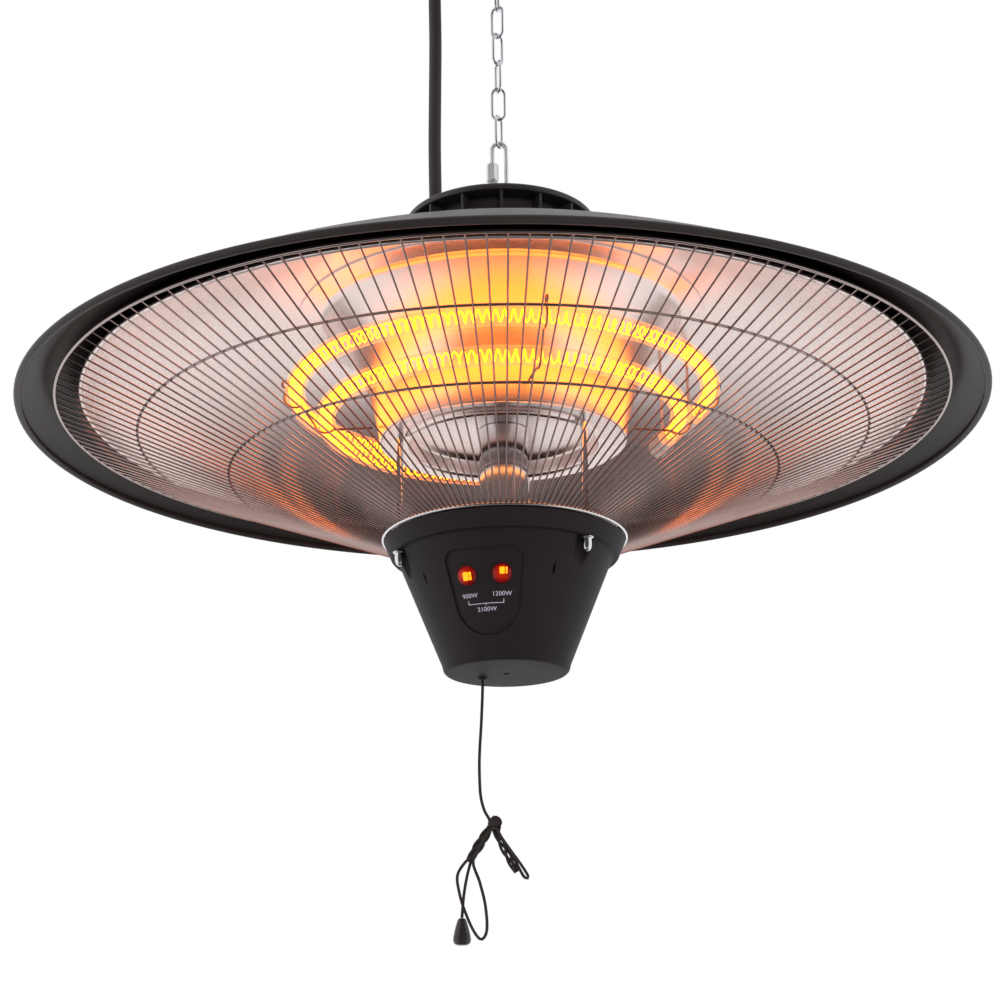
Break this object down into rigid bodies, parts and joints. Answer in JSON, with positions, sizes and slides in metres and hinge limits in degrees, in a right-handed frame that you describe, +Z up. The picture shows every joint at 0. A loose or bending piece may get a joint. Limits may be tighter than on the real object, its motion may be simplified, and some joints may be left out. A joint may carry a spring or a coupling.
{
  "type": "hanging infrared patio heater",
  "caption": "Electric infrared heater hung by a short chain: black spun dome, ring lamps under a polished reflector, conical wire guard and a control housing with a pull cord.",
  "frame": {"origin": "middle of the ceiling plate's top face, where it meets the ceiling", "axes": "+Z up along the heater's axis, -Y towards the side that the control panel faces"},
  "size_m": [0.6, 0.6, 0.6607],
  "materials": {
    "black_paint": "satin black stove paint",
    "black_plastic": "fine matt moulding",
    "polished_aluminium": "polished, spun",
    "chrome": "bright plated",
    "zinc": "bright zinc plating",
    "ceramic": "unglazed white ceramic",
    "quartz": "clear quartz",
    "hot_wire": "glowing resistance wire",
    "red_lens": "clear orange-red lens, lit",
    "rubber": "matt",
    "cord_black": "braided",
    "switch_plastic": "plain moulding"
  },
  "bodies": {
    "ceiling": {"ceiling_plate": "zinc", "ceiling_hook": "zinc", "ceiling_strain_relief": "rubber"},
    "top_link": {"chain_link_1": "zinc"},
    "heater": {"cap_strain_relief": "rubber", "carrier_plate": "zinc", "centre_post": "chrome", "chain_link_2": "zinc", "chain_link_3": "zinc", "chain_link_4": "zinc", "chain_link_5": "zinc", "chain_link_6": "zinc", "control_housing": "black_plastic", "cord_bush": "black_plastic", "dome_nut_1": "chrome", "dome_nut_2": "chrome", "dome_nut_3": "chrome", "hanging_eye": "zinc", "housing_lid": "black_plastic", "inner_bell": "polished_aluminium", "inner_ceramic_left": "ceramic", "inner_ceramic_right": "ceramic", "inner_filament": "hot_wire", "inner_lamp_strap_left": "zinc", "inner_lamp_strap_right": "zinc", "inner_lamp_tube": "quartz", "inner_pan": "polished_aluminium", "lamp_support_1": "zinc", "lamp_support_2": "zinc", "lamp_support_3": "zinc", "outer_ceramic_left": "ceramic", "outer_ceramic_right": "ceramic", "outer_filament": "hot_wire", "outer_lamp_strap_left": "zinc", "outer_lamp_strap_right": "zinc", "outer_lamp_tube": "quartz", "pilot_lamp_1": "red_lens", "pilot_lamp_2": "red_lens", "pull_switch": "switch_plastic", "quick_link": "zinc", "reflector": "polished_aluminium", "shade": "black_paint", "supply_cable": "rubber", "support_bolt_1": "chrome", "support_bolt_2": "chrome", "support_bolt_3": "chrome", "terminal_block": "switch_plastic", "top_cap": "black_plastic", "wire_guard": "chrome", "wiring_tube": "zinc"},
    "sleeve": {"quick_link_sleeve": "zinc"},
    "pull": {"pull_cord": "cord_black", "cord_toggle": "black_plastic", "switch_plunger": "black_plastic"}
  },
  "joints": [
    {"name": "swing_fore_aft", "type": "hinge", "parent": "ceiling", "child": "top_link", "pos_m": [0, 0, -0.0287], "axis": [1, 0, 0], "range_deg": [-10, 10], "deforming": ["supply_cable"]},
    {"name": "swing_sideways", "type": "hinge", "parent": "top_link", "child": "heater", "pos_m": [0, 0, -0.0479], "axis": [0, 1, 0], "range_deg": [-10, 10], "deforming": ["supply_cable"]},
    {"name": "cord_pull", "type": "slide", "parent": "heater", "child": "pull", "axis": [0, 0, -1], "range_m": [0, 0.008], "stiffness_N_per_m": 220},
    {"name": "sleeve", "type": "slide", "parent": "heater", "child": "sleeve", "axis": [0, 0, 1], "range_m": [0, 0.008]}
  ]
}
